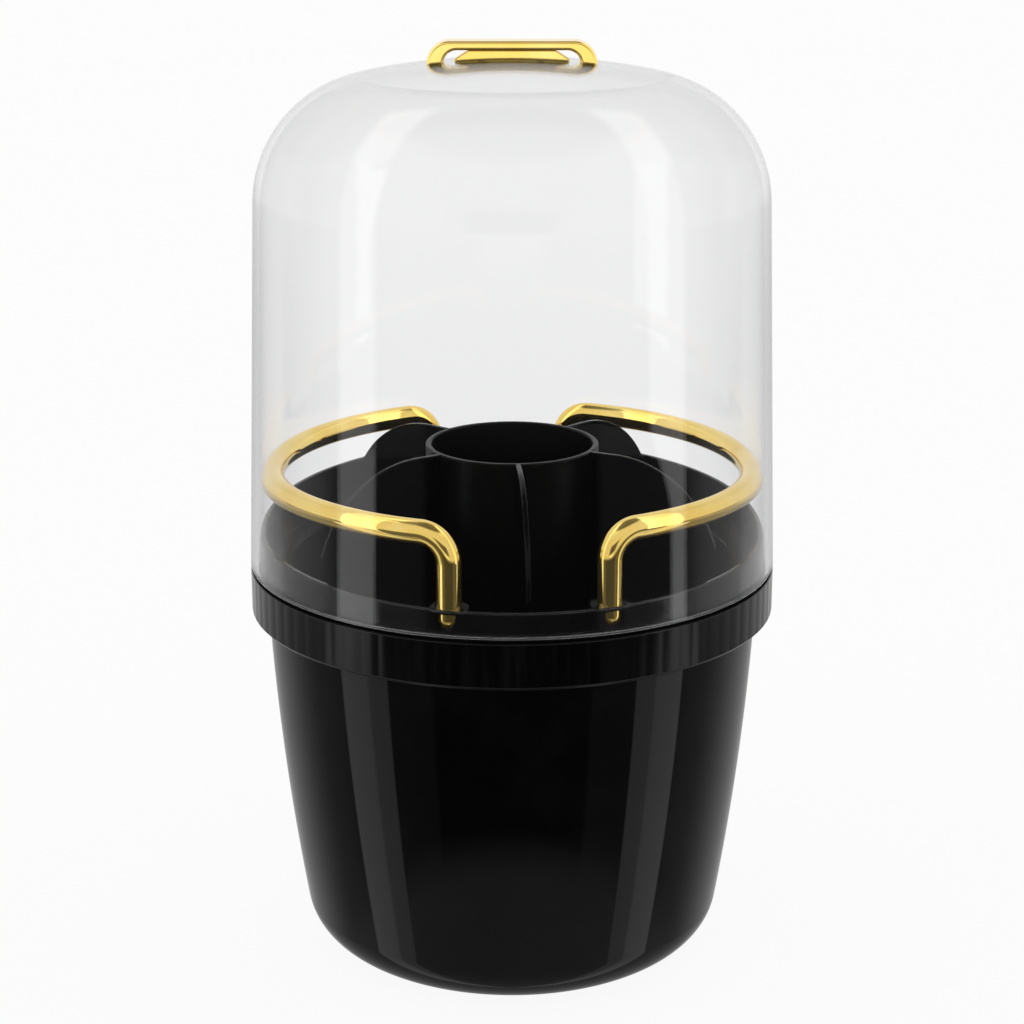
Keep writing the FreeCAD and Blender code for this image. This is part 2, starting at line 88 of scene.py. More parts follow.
# Where the studio's light fades in or out. A rise or fall is in the upward part of a direction, a front is
# in how far it faces the front, and the strips' sides are in how far it goes across and back.
HORIZON = (-0.02, 0.02)
MIDDLE = (-0.01, 0.01)
COVER_RISE = (-0.36, -0.28)
RAIL_RISE, RAIL_FALL = (-0.38, -0.3), (-0.23, -0.18)
STRIP_INNER, STRIP_OUTER, STRIP_BACK = (0.545, 0.565), (0.96, 0.98), (0.5, 0.56)
INNER_LEAN, OUTER_LEAN = 0.66, 0.87
INNER_STEP, OUTER_STEP = 0.2, 0.135
LOW_LOSS, LOW_FRONT_LOSS, LOW_FRONT = 0.38, 0.2, (0.29, 0.33)
DARK_FRONT, SIDE_FRONT = (0.77, 0.81), (-0.1, 0.3)
REAR_FRONT, REAR_COVER_FRONT = (-0.75, -0.2), (-0.52, -0.44)
UNDER_RISE, SKY_RISE, ZENITH_RISE = (-0.64, -0.58), (-0.2, -0.05), (0.82, 0.94)
DUSK_RISE, DUSK_FALL, DUSK_FRONT = (-0.03, 0.03), (0.25, 0.4), (0.9, 0.98)
CARD_RISE, CARD_FALL, CARD_FRONT = (-0.12, -0.1), (-0.06, -0.04), (0.96, 0.99)


def bottom(node):
    """The height of a frame node's lowest point."""
    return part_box(node)[0].z


def top(node):
    """The height of a frame node's highest point."""
    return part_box(node)[1].z


def reach(node):
    """How far a frame node reaches from the upright axis along X."""
    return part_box(node)[1].x


def length(label, words, default):
    return FloatProperty(name=label, description=words, default=default, min=0, unit="LENGTH", precision=5)


def angle(label, words, degrees):
    return FloatProperty(name=label, description=words, default=math.radians(degrees), subtype="ANGLE")


def share(label, words, default):
    return FloatProperty(name=label, description=words, default=default, min=0, max=1, subtype="FACTOR")


def amount(label, words, default):
    return FloatProperty(name=label, description=words, default=default, min=0)


def colour(label, words, default):
    return FloatVectorProperty(name=label, description=words, default=default, size=3, min=0, max=1,
                               subtype="COLOR")


class HolderSizes(bpy.types.PropertyGroup):
    """Sizes of the pieces that the frame doesn't give by itself."""

    edge: length("Edge", "Small round on moulded edges", 0.0003)
    cup_foot: length("Cup foot", "Radius of the cup's flat foot", 0.0408)
    cup_corner: length("Cup corner", "Radius of the round above the foot", 0.013)
    cup_bow: length("Cup bow", "Radius of the cup's bowed side", 0.705)
    cup_wall: length("Cup wall", "Thickness of the cup", 0.0025)
    cup_land_drop: length("Cup land drop", "How far the upright land runs below the collar", 0.0006)
    collar_bore: length("Collar bore", "Radius inside the collar's skirt", 0.0621)
    collar_throat: length("Collar throat", "Radius inside the collar's web", 0.059)
    collar_lip: length("Collar lip", "Thickness of the lip round the tray", 0.0011)
    flute_depth: length("Flute depth", "Depth of the shallow flutes round the collar", 0.00007)
    collar_bevel: length("Collar bevel", "Bevel under the collar", 0.0009)
    web_bottom: length("Web bottom", "Height of the collar's web", 0.0956)
    web_top: length("Web top", "Height that the tray's flange rests at", 0.0986)
    seat: length("Seat", "Height that the cover stands at", bottom("dome"))
    rim_radius: length("Rim radius", "Outer radius of the tray's upright rim", 0.06375)
    rim_wall: length("Rim wall", "Thickness of the tray's rim", 0.0014)
    rim_height: length("Rim height", "Height of the rim and the bosses above the seat at the front", 0.0058)
    rim_rise: length("Rim rise", "How much higher the rim stands at the rear", 0.008)
    rim_round: length("Rim round", "Round along the top of the rim", 0.0005)
    bucket_wall: length("Bucket wall", "Thickness of the tray's bucket", 0.0018)
    bucket_foot: length("Bucket foot", "Radius of the bucket's flat floor", 0.0433)
    bucket_corner: length("Bucket corner", "Inner round above the bucket's floor", 0.006)
    bucket_lean: angle("Bucket lean", "Lean of the bucket's side", 4.82)
    tray_turn: angle("Tray turn", "How far the tray stands turned from the front", 4)
    tube_wall: length("Tube wall", "Thickness of the middle tube", 0.0015)
    tube_lip: length("Tube lip", "Round along the tube's rim", 0.0005)
    divider_thickness: length("Divider thickness", "Thickness of a divider", 0.0013)
    divider_edge: length("Divider edge", "Round along a divider's edges", 0.0003)
    divider_inner: length("Divider inner", "Radius where a divider starts", 0.0212)
    divider_outer: length("Divider outer", "Radius where a divider ends above the bucket", 0.0558)
    divider_crest: length("Divider crest", "Radius of a divider's outer corner", 0.028)
    rail_radius: length("Rail radius", "Radius of the rails' level arc", 0.059892)
    rail_tube: length("Rail tube", "Radius of the rails' rod", 0.0029)
    rail_level: length("Rail level", "Height of the rails' middle line", 0.1247)
    rail_bend: length("Rail bend", "Radius of the bends above the feet", 0.007)
    rail_sweep: angle("Rail sweep", "Half the angle of the level arc", 65.6)
    boss_radius: length("Boss radius", "Radius of the boss round a rail's foot", 0.0048)
    window_half: length("Window half", "Half the width of the window at a rail's foot", 0.00245)
    window_bridge: length("Window bridge", "Height left of the rim above a window", 0.0009)
    window_depth: length("Window depth", "Depth of a window", 0.0022)
    cover_wall: length("Cover wall", "Thickness of the clear cover", 0.0018)
    cover_draft: angle("Cover draft", "Lean of the cover's side", 2)
    shoulder_start: length("Shoulder start", "Height of the cover's straight side", 0.0908)
    shoulder: length("Shoulder", "Radius of the cover's shoulder", 0.0314)
    crown_slope: angle("Crown slope", "Slope where the shoulder meets the crown", 11.7)
    handle_length: length("Handle length", "Length of the bridge handle", 0.0407)
    handle_depth: length("Handle depth", "Depth of the bridge handle", 0.008)
    handle_bar: length("Handle bar", "Thickness of the bridge's bar", 0.0022)
    handle_leg: length("Handle leg", "Thickness of the bridge's legs", 0.004)
    handle_end: length("Handle end", "Radius of the bridge's outer corners", 0.0054)
    handle_foot: length("Handle foot", "Radius of the bridge's corners at the crown", 0.0013)
    handle_round: length("Handle round", "Round along the bridge's edges", 0.0007)
    block_length: length("Block length", "Length of the block at the cover", 0.0275)
    block_top: length("Block top", "Length of the block under the bar", 0.0208)
    block_depth: length("Block depth", "Depth of the block", 0.0064)
    pad_round: length("Pad round", "Round along the pads' edges", 0.0004)


class HolderFinish(bpy.types.PropertyGroup):
    """Colours and polish of the materials."""

    black: colour("Black", "Glossy black plastic", (0.0006, 0.0006, 0.00065))
    black_roughness: share("Black roughness", "Roughness of the black plastic", 0.02)
    tray_roughness: share("Tray roughness", "Roughness of the tray's plastic", 0.1)
    tube_roughness: share("Tube roughness", "Roughness of the middle tube's plastic", 0.3)
    divider_roughness: share("Divider roughness", "Roughness of the dividers' plastic", 0.05)
    black_index: amount("Black index", "Index of refraction of the black plastic", 1.30)
    inner_index: amount("Inner index", "Index of refraction of the tube's and dividers' plastic", 1.2)
    tray_index: amount("Tray index", "Index of refraction of the tray's plastic", 1.45)
    gold: colour("Gold", "Polished gold plate", (1.0, 0.75, 0.24))
    gold_deep: colour("Deep gold", "Gold where the plate is thicker", (0.95, 0.66, 0.16))
    gold_roughness: share("Gold roughness", "Roughness of the gold", 0.012)
    clear: colour("Clear", "Clear plastic seen straight on", (0.945, 0.946, 0.948))
    # Painted shade: the next two colours darken the clear plastic where the cover is seen at a slant and at
    # its outline.
    clear_slant_shade: colour("Clear edge", "Clear plastic seen along its wall", (0.89, 0.891, 0.895))
    clear_outline_shade: colour("Clear rim", "Clear plastic at its outline", (0.7, 0.7, 0.71))
    # Painted highlight: the height of a pale metal band along the cover's lowest edge.
    lip_glint_height: length("Clear lip", "Height of the frosted lip under the cover", 0.0004)
    clear_index: amount("Clear index", "Index of refraction of the clear plastic", 1.31)
    rubber: colour("Rubber", "Foot pads", (0.03, 0.03, 0.031))
    slip: colour("Slip", "Slip ring", (0.7, 0.69, 0.66))
    steel: colour("Steel", "Studs", (0.6, 0.6, 0.62))


class HolderStudio(bpy.types.PropertyGroup):
    """Light and camera."""

    eye_back: length("Eye back", "How far in front of the part the camera stands", 0.560)
    eye_height: length("Eye height", "Height of the camera", 0.27677)
    tilt: angle("Tilt", "How far the camera looks down", 16.323)
    lens: amount("Lens", "Focal length in millimetres", 81.08)
    floor_size: length("Floor size", "Width of the floor", 40.0)
    strip_light: amount("Strip light", "Strength of the tall side lights", 1.85)
    rear_light: amount("Rear light", "Strength of the low light from behind", 0.5)
    rear_glow: amount("Rear glow", "Added strength of the light from behind at the cover's height", 0.2)
    sky_light: amount("Sky light", "Strength of the light from above", 0.95)
    zenith_light: amount("Zenith light", "Strength of the light straight overhead", 0.15)
    under_light: amount("Under light", "Strength of the light that the floor throws up", 0.4)
    side_light: amount("Side light", "Strength of the low light behind the side lights", 0.25)
    side_glow: amount("Side glow", "Added strength of that light at the rails' height", 0.28)
    front_light: amount("Front light", "Strength of the low light between the side lights", 0.13)
    card_light: amount("Card light", "Added strength of the small pale card before the handle", 0.45)
    dark_light: amount("Dark light", "Strength of the low light straight from the front", 0.045)
    floor_white: share("Floor white", "Brightness that the eye gives the floor", 0.92)


def meet(first, way, second, other):
    """The crossing of two lines, each a point and a direction."""
    steps = np.linalg.solve(np.column_stack([way, -np.asarray(other)]), np.subtract(second, first))
    return first + steps[0] * np.asarray(way)


def lean(slope):
    """The upward direction that leans outwards by a slope from the upright."""
    return np.array([math.sin(slope), math.cos(slope)])


def inward(place, way, wall):
    """A point moved to the left of a direction by a wall."""
    return np.asarray(place) + wall * np.array([-way[1], way[0]])


def corner(place, radius):
    return (place[0], place[1], radius)


def spokes(angles):
    """Unit directions outwards and round about, at angles about the upright axis."""
    across, along = np.cos(angles), np.sin(angles)
    return np.stack([across, along, 0 * along], -1), np.stack([-along, across, 0 * along], -1)


def rounded(corners, closed=False, turn_step=0.11, sag=3e-6):
    """Points and normals of an outline through (x, y, radius) corners. Each corner is an arc tangent to both
    sides, in equal turns small enough for the step and the sag. A side's normal points to its right."""
    corners = np.asarray(corners, float)
    places, radii = corners[:, :2], corners[:, 2]
    ways = np.roll(places, -1, 0) - places
    ways = ways / np.linalg.norm(ways, axis=1, keepdims=True)
    points, normals = [], []
    for index in range(len(corners)):
        before, after = ways[index - 1], ways[index]
        if not closed and index in (0, len(corners) - 1):
            before = after = ways[0] if index == 0 else ways[-2]
        bend = math.atan2(before[0] * after[1] - before[1] * after[0], before @ after)
        step = min(turn_step, math.sqrt(8 * sag / max(radii[index], sag)))
        turns = np.linspace(0, bend, 2 + int(abs(bend) / step))[:, None] if bend else np.zeros((1, 1))
        out, side = np.array([before[1], -before[0]]), math.copysign(radii[index], bend)
        normal = np.cos(turns) * out + np.sin(turns) * before
        entry = places[index] - before * radii[index] * math.tan(abs(bend) / 2)
        points.append(entry + (normal - out) * side)
        normals.append(normal)
    return np.concatenate(points), np.concatenate(normals)


def grid_faces(rows, columns, loop=False):
    """Quads of a grid whose columns run round, facing outwards. A loop joins the last row to the first."""
    index = np.arange(rows * columns).reshape(rows, columns)
    index = np.concatenate([index, index[:, :1]], 1)
    if loop:
        index = np.concatenate([index, index[:1]])
    corners = (index[:-1, :-1], index[:-1, 1:], index[1:, 1:], index[1:, :-1])
    return np.stack([c.ravel() for c in corners], 1)


def lathe(outline, segments=288, loop=False):
    """A surface turned about the upright axis: each (radius, height) point becomes a ring of equal angles. A
    ring on the axis closes to a point with a fan of triangles. A loop joins its last ring to the first."""
    points, normals = outline
    angles = np.linspace(0, TAU, segments, endpoint=False)
    ring = np.stack([np.cos(angles), np.sin(angles)], 1)

    def spin(pairs):
        level = np.broadcast_to(pairs[:, None, 1:], (len(pairs), segments, 1))
        return np.concatenate([pairs[:, None, :1] * ring, level], -1).reshape(-1, 3)

    quads = grid_faces(len(points), segments, loop)
    on_axis = np.repeat(points[:, 0] < HAIR, segments)
    fans = [quads[on_axis[quads[:, 0]]][:, [0, 2, 3]], quads[on_axis[quads[:, 3]]][:, [0, 1, 2]]]
    quads = quads[~on_axis[quads[:, 0]] & ~on_axis[quads[:, 3]]]
    pole = np.arange(len(on_axis))
    pole = np.where(on_axis, pole - pole % segments, pole)
    return spin(points), spin(normals), [quads] + [pole[fan] for fan in fans]


def slab(outline, thickness, edge, origin, axes, steps=6):
    """A plate with rounded edges: the outline is drawn in by a quarter circle towards each face, along the
    third axis, and each face is closed by one polygon."""
    points, normals = outline
    quarter = np.linspace(0, math.pi / 2, steps)
    turns = np.concatenate([-quarter[::-1], quarter])[:, None, None]
    side = np.repeat([-1.0, 1.0], steps)[:, None, None]
    lift = side * (thickness / 2 - edge) + edge * np.sin(turns)
    flat = points[None] - normals[None] * edge * (1 - np.cos(turns))
    place = origin + flat @ np.asarray(axes[:2]) + lift * np.asarray(axes[2])
    normal = (np.cos(turns) * normals[None]) @ np.asarray(axes[:2]) + np.sin(turns) * np.asarray(axes[2])
    rows, columns = 2 * steps, len(points)
    first = np.arange(columns)
    caps = [first[None, ::-1], first[None] + (rows - 1) * columns]
    return place.reshape(-1, 3), normal.reshape(-1, 3), [grid_faces(rows, columns)] + caps


def rod(centre, out, up, radius, lean_out, sides=48):
    """A round rod: at each point of its middle line a ring of the given radius stands on two directions, and
    its normals lean along the line by the given sines. The ends close to points."""
    around = np.linspace(0, TAU, sides, endpoint=False)[None, :, None]
    spoke = np.cos(around) * out[:, None] + np.sin(around) * up[:, None]
    ahead = np.cross(out, up)[:, None]
    tilt = lean_out[:, None, None]
    place = centre[:, None] + spoke * radius[:, None, None]
    normal = spoke * np.sqrt(1 - tilt**2) + ahead * tilt
    ring = np.arange(sides)[None]
    caps = [ring[:, ::-1], ring + (len(centre) - 1) * sides]
    return place.reshape(-1, 3), normal.reshape(-1, 3), [grid_faces(len(centre), sides)] + caps


def merged(surfaces):
    """Several surfaces as one."""
    points, normals, faces, start = [], [], [], 0
    for place, normal, blocks in surfaces:
        points.append(place)
        normals.append(normal)
        faces += [block + start for block in blocks]
        start += len(place)
    return np.concatenate(points), np.concatenate(normals), faces


def turned(surface, turn):
    """A surface turned about the upright axis."""
    place, normal, faces = surface
    spin = np.array([[math.cos(turn), math.sin(turn), 0], [-math.sin(turn), math.cos(turn), 0], [0, 0, 1]])
    return place @ spin, normal @ spin, faces


def moved(surface, shift):
    """A surface moved by a vector."""
    return surface[0] + np.asarray(shift), surface[1], surface[2]


def add_piece(name, surface, material, body, nodes):
    """Puts a surface into a mesh object, with its own normals, in place of frame nodes on a body."""
    points, normals, blocks = surface
    used, packed = np.unique(np.concatenate([b.ravel() for b in blocks]), return_inverse=True)
    faces, start = [], 0
    for block in blocks:
        faces += packed[start:start + block.size].reshape(block.shape).tolist()
        start += block.size
    mesh = bpy.data.meshes.new(name)
    mesh.from_pydata(points[used].tolist(), [], faces)
    mesh.shade_smooth()
    mesh.normals_split_custom_set_from_vertices(normals[used].tolist())
    mesh.materials.append(material)
    piece = bpy.data.objects.new(name, mesh)
    bpy.context.scene.collection.objects.link(piece)
    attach(piece, body)
    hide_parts(*nodes)
    return piece


def dress_node(node, material):
    """Gives a frame node a finished material."""
    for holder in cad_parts[node].material_slots:
        holder.material = material


class Flow:
    """A socket of a node tree. Arithmetic on it adds Math nodes, and node() adds any other node."""

    def __init__(self, tree, socket=None):
        self.tree = tree
        self.socket = socket

    def node(self, kind, settings=None, inputs=None, output=0):
        """Adds a node: its settings first, then the values or links of its sockets."""
        made = self.tree.nodes.new(kind)
        for key, value in (settings or {}).items():
            setattr(made, key, value)
        for key, value in (inputs or {}).items():
            if isinstance(value, Flow):
                self.tree.links.new(value.socket, made.inputs[key])
            else:
                made.inputs[key].default_value = value
        return Flow(self.tree, made.outputs[output] if made.outputs else None)

    def maths(self, operation, *values):
        return self.node("ShaderNodeMath", {"operation": operation}, dict(enumerate(values)))

    def __add__(self, other):
        return self.maths("ADD", self, other)

    __radd__ = __add__

    def __sub__(self, other):
        return self.maths("SUBTRACT", self, other)

    def __rsub__(self, other):
        return self.maths("SUBTRACT", other, self)

    def __mul__(self, other):
        return self.maths("MULTIPLY", self, other)

    __rmul__ = __mul__

    def __truediv__(self, other):
        return self.maths("DIVIDE", self, other)

    def towards(self, target, weight):
        """This value drawn to a target by a weight."""
        return self + weight * (target - self)

    def between(self, rise, fall):
        """Rises over one range and falls again over another."""
        return self.smooth(*rise) * (1 - self.smooth(*fall))

    def parts(self):
        """The three parts of this vector."""
        return [self.node("ShaderNodeSeparateXYZ", {}, {"Vector": self}, axis) for axis in "XYZ"]

    def root(self):
        return self.maths("SQRT", self)

    def size(self):
        return self.maths("ABSOLUTE", self)

    def smooth(self, low, high):
        """Rises smoothly from 0 at low to 1 at high."""
        return self.node("ShaderNodeMapRange", {"interpolation_type": "SMOOTHSTEP"},
                         {"Value": self, "From Min": low, "From Max": high})

    def blend(self, first, second):
        """Two colours mixed by this value."""
        return self.node("ShaderNodeMix", {"data_type": "RGBA"}, {0: self, 6: first, 7: second}, 2)

    def noise(self, scale, detail=4.0, roughness=0.55):
        """Cloud noise on these coordinates."""
        return self.node("ShaderNodeTexNoise", {}, {
            "Vector": self, "Scale": scale, "Detail": detail, "Roughness": roughness})

    def bump(self, strength, distance):
        """A normal raised by this height."""
        return self.node("ShaderNodeBump", {}, {"Height": self, "Strength": strength, "Distance": distance})


def opaque(rgb):
    return (*rgb, 1.0)


def new_material(name):
    """An empty material and its coordinates."""
    material = bpy.data.materials.new(name)
    material.use_nodes = True
    material.node_tree.nodes.clear()
    flow = Flow(material.node_tree)
    return material, flow, flow.node("ShaderNodeTexCoord", output="Object")


def settle(flow, shader):
    flow.node("ShaderNodeOutputMaterial", {}, {"Surface": shader})


def principled(flow, inputs):
    return flow.node("ShaderNodeBsdfPrincipled", {}, inputs)


def boss_tops(flow, coords, s):
    """1 on the tops of the four bosses round the rails' feet and 0 elsewhere: the distance from the nearest
    foot, with the four quarters folded on one another."""
    own = flow.node("ShaderNodeMapping", {}, {"Vector": coords, "Rotation": (0, 0, -s.tray_turn)})
    x, y, z = own.parts()
    foot = foot_spots(s)[0]
    x, y = x.size() - abs(foot[0]), y.size() - abs(foot[1])
    apart, level = (x * x + y * y).root(), s.seat + s.rim_height
    return (1 - apart.smooth(s.boss_radius - 2e-4, s.boss_radius)) * z.smooth(level - 6e-4, level - 2e-4)


def black_plastic(name, roughness, index, wave, s=None):
    """Glossy black plastic: faint smears in the polish, specks of dust and a slow wave from the mould. With
    the sizes given, the tops of the tray's bosses are left satin."""
    material, flow, coords = new_material(name)
    smear = coords.noise(45.0, 5.0, 0.62).smooth(0.42, 0.7)
    dust = coords.noise(900.0, 2.0).smooth(0.68, 0.82)
    tone = (smear * 0.3 + dust * 0.4).blend(opaque(finishes().black), opaque(SMEARED))
    polish = roughness + smear * 0.03 + dust * 0.04
    if s:
        satin = boss_tops(flow, coords, s)
        tone, polish = satin.blend(tone, opaque(SATIN)), polish + satin * 0.15
    scale, height = wave
    settle(flow, principled(flow, {
        "Base Color": tone,
        "Roughness": polish,
        "IOR": index,
        "Normal": coords.noise(scale, 1.0).bump(1.0, height),
    }))
    return material


def ribbed_plastic(name, finish):
    """Glossy black plastic whose polish wavers in soft upright streaks round the collar, which also paint a
    faint sheen into its colour.
    """
    material, flow, coords = new_material(name)
    around = flow.node("ShaderNodeMapping", {}, {"Vector": coords, "Scale": (1.0, 1.0, 0.08)})
    streak_sheen_and_relief = around.noise(420.0, 3.0, 0.6)
    broad = around.noise(90.0, 2.0, 0.5)
    smear = coords.noise(60.0, 5.0, 0.6).smooth(0.4, 0.7)
    settle(flow, principled(flow, {
        # Painted sheen: the colour lightens along the streaks, where reflections break into upright lines.
        "Base Color": streak_sheen_and_relief.smooth(0.4, 0.75).blend(opaque(finish.black), opaque(STREAK_SHEEN)),
        "Roughness": finish.black_roughness + 0.1 + smear * 0.05,
        "IOR": finish.black_index,
        "Normal": (streak_sheen_and_relief * 0.2 + broad).bump(0.2, 0.00005),
    }))
    return material


def gold_plate(name, finish):
    """Polished gold plate: a slow change of tone, fine polishing marks and faint finger smears."""
    material, flow, coords = new_material(name)
    tone = coords.noise(70.0, 3.0).smooth(0.35, 0.68)
    smear = coords.noise(160.0, 5.0, 0.65).smooth(0.45, 0.72)
    drawn = flow.node("ShaderNodeMapping", {}, {"Vector": coords, "Scale": (1.0, 1.0, 6.0)})
    marks = drawn.noise(900.0, 3.0)
    settle(flow, principled(flow, {
        "Base Color": tone.blend(opaque(finish.gold), opaque(finish.gold_deep)),
        "Metallic": 0.98,
        "Roughness": finish.gold_roughness + smear * 0.03 + marks * 0.015,
        "Normal": marks.bump(0.025, 0.00004),
    }))
    return material


def clear_plastic(name, finish):
    """Clear polished plastic: lamps pass through it and faint smears show in its polish. Its colour carries
    painted shade, darker where it is seen at a slant and darkest at its outline, and its lower lip carries a
    painted highlight: a pale metal band in place of the light that the wall pipes down to its edge."""
    material, flow, coords = new_material(name)
    smear = coords.noise(30.0, 5.0, 0.6).smooth(0.5, 0.78)
    facing = flow.node("ShaderNodeLayerWeight", {}, {"Blend": 0.5}, "Facing")
    # Painted shade: the colour darkens where the cover is seen at a slant, and more at its outline.
    slant_shade, rim = facing.smooth(0.12, 0.5), facing.smooth(0.72, 0.95)
    tone = slant_shade.blend(opaque(finish.clear), opaque(finish.clear_slant_shade))
    glass = principled(flow, {
        "Base Color": rim.blend(tone, opaque(finish.clear_outline_shade)),
        "Roughness": smear * 0.02,
        "IOR": finish.clear_index,
        "Transmission Weight": 1.0,
    })
    # Painted highlight: a pale metal band along the cover's lowest edge stands in for light that the clear
    # wall pipes down to it.
    lip_glint = principled(flow, {"Base Color": (0.9, 0.9, 0.9, 1), "Metallic": 1.0, "Roughness": 0.25})
    height = flow.node("ShaderNodeSeparateXYZ", {}, {"Vector": coords}, "Z")
    lip = (1 - height.smooth(bottom("dome"), bottom("dome") + finish.lip_glint_height)) * 0.45
    glass = flow.node("ShaderNodeMixShader", {}, {0: lip, 1: glass, 2: lip_glint})
    passing = flow.node("ShaderNodeBsdfTransparent", {}, {"Color": opaque(finish.clear)})
    shadow = flow.node("ShaderNodeLightPath", output="Is Shadow Ray")
    settle(flow, flow.node("ShaderNodeMixShader", {}, {0: shadow, 1: glass, 2: passing}))
    return material


def plain_grain(name, rgb, roughness, grain, metallic=0.0):
    """A dull material with a fine grain in its colour, roughness and relief."""
    material, flow, coords = new_material(name)
    speck = coords.noise(grain, 4.0, 0.6)
    settle(flow, principled(flow, {
        "Base Color": speck.blend(opaque(c * 0.75 for c in rgb), opaque(min(1, c * 1.25) for c in rgb)),
        "Metallic": metallic,
        "Roughness": roughness + speck * 0.15,
        "Normal": speck.bump(0.25, 0.00006),
    }))
    return material


def sizes():
    return bpy.context.scene.holder_sizes


def finishes():
    return bpy.context.scene.holder_finish


def cup_outline(s):
    """The cup's section: a flat foot, a round corner, a bowed side tangent to it and an upright land, then
    the same inside by the wall. The bow's lean comes from the triangle of the corner's centre, the land and
    the bow's centre."""
    floor, rim, top_level = bottom("cup"), reach("cup"), top("cup")
    land = np.array([rim, bottom("collar") - s.cup_land_drop])
    centre = np.array([s.cup_foot, floor + s.cup_corner])
    across, up = land - centre
    far = math.hypot(across, up)
    cosine = far**2 + s.cup_corner**2 - 2 * s.cup_bow * s.cup_corner
    cosine /= 2 * far * (s.cup_bow - s.cup_corner)
    slope = math.pi - math.atan2(up, across) - math.acos(cosine)
    low = centre + s.cup_corner * np.array([math.cos(slope), -math.sin(slope)])
    arc = 2 * math.asin(math.dist(low, land) / 2 / s.cup_bow)
    ways = (LEVEL, lean(slope), lean(slope - arc), lean(0))
    outside = (np.array([0, floor]), low, land, land)
    inside = [inward(p, w, s.cup_wall) for p, w in zip(outside, ways)]

    def crossing(lines, first, second):
        return meet(lines[first], ways[first], lines[second], ways[second])

    return rounded([
        (0, floor, 0),
        corner(crossing(outside, 0, 1), s.cup_corner),
        corner(crossing(outside, 1, 2), s.cup_bow),
        corner(land, s.cup_land_drop),
        (rim, top_level, s.edge),
        (rim - s.cup_wall, top_level, s.edge),
        corner(crossing(inside, 2, 3), s.cup_land_drop),
        corner(crossing(inside, 1, 2), s.cup_bow - s.cup_wall),
        corner(crossing(inside, 0, 1), s.cup_corner - s.cup_wall),
        (0, floor + s.cup_wall, 0),
    ])


class HOLDER_OT_cup(bpy.types.Operator):
    """Turns the black cup"""

    bl_idname = "holder.cup"
    bl_label = "Cup"

    def execute(self, context):
        finish = finishes()
        material = black_plastic("cup_black", finish.black_roughness, finish.black_index, CUP_WAVE)
        add_piece("cup_shell", lathe(cup_outline(sizes())), material, "base", ["cup"])
        return {"FINISHED"}


class HOLDER_OT_pads(bpy.types.Operator):
    """Turns the rubber pads under the cup"""

    bl_idname = "holder.pads"
    bl_label = "Foot pads"

    def execute(self, context):
        s, material = sizes(), plain_grain("pad_rubber", finishes().rubber, 0.7, 1500.0)
        for number in PADS:
            low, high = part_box(f"foot_pad_{number}")
            middle, radius = (low + high) / 2, (high.x - low.x) / 2
            pad = lathe(rounded([
                (0, low.z, 0), (radius, low.z, s.pad_round), (radius, high.z, s.pad_round), (0, high.z, 0),
            ]), 72)
            add_piece(f"pad_disc_{number}", moved(pad, (middle.x, middle.y, 0)), material, "base",
                      [f"foot_pad_{number}"])
        return {"FINISHED"}


def fluted(surface, count, depth):
    """A turned surface with shallow flutes on its outer side: the radius falls by the depth times one less
    the size of cos(count * angle / 2), and fades out where the surface turns away from straight outwards."""
    place, normal, faces = surface
    angles = np.arctan2(place[:, 1], place[:, 0])
    radius = np.hypot(place[:, 0], place[:, 1])
    out, around = spokes(angles)
    facing = np.clip((normal * out).sum(1), 0, 1)**6
    wave = np.cos(count * angles / 2)
    slope = -depth * facing * count / 2 * np.sin(count * angles / 2) * np.sign(np.round(wave, 6)) / radius
    place = place - out * (depth * facing * (1 - np.abs(wave)))[:, None]
    return place, normal - around * slope[:, None], faces


class HOLDER_OT_collar(bpy.types.Operator):
    """Turns the collar and finishes the slip ring under it"""

    bl_idname = "holder.collar"
    bl_label = "Collar"

    def execute(self, context):
        s, outer, low, high = sizes(), reach("collar"), bottom("collar"), top("collar")
        lip = outer - s.collar_lip
        band = fluted(lathe(rounded([
            (s.collar_bore, low, s.edge),
            (outer - s.collar_bevel, low, s.edge),
            (outer, low + s.collar_bevel, s.edge),
            (outer, high, s.edge),
            (lip, high, s.edge),
            (lip, s.web_top, s.edge),
            (s.collar_throat, s.web_top, s.edge),
            (s.collar_throat, s.web_bottom, s.edge),
            (s.collar_bore, s.web_bottom, s.edge),
        ], closed=True), FLUTES * 8, loop=True), FLUTES, s.flute_depth)
        material = ribbed_plastic("collar_black", finishes())
        add_piece("collar_band", band, material, "collar", ["collar"])
        dress_node("glide_ring", plain_grain("slip_plastic", finishes().slip, 0.5, 700.0))
        return {"FINISHED"}


def foot_spots(s):
    """The four rail feet as (x, y), in the tray's own frame: the bends carry them past the arcs' ends."""
    x = s.rail_radius * math.cos(s.rail_sweep) - s.rail_bend * math.sin(s.rail_sweep)
    y = s.rail_radius * math.sin(s.rail_sweep) + s.rail_bend * math.cos(s.rail_sweep)
    return [(x, y), (-x, y), (-x, -y), (x, -y)]


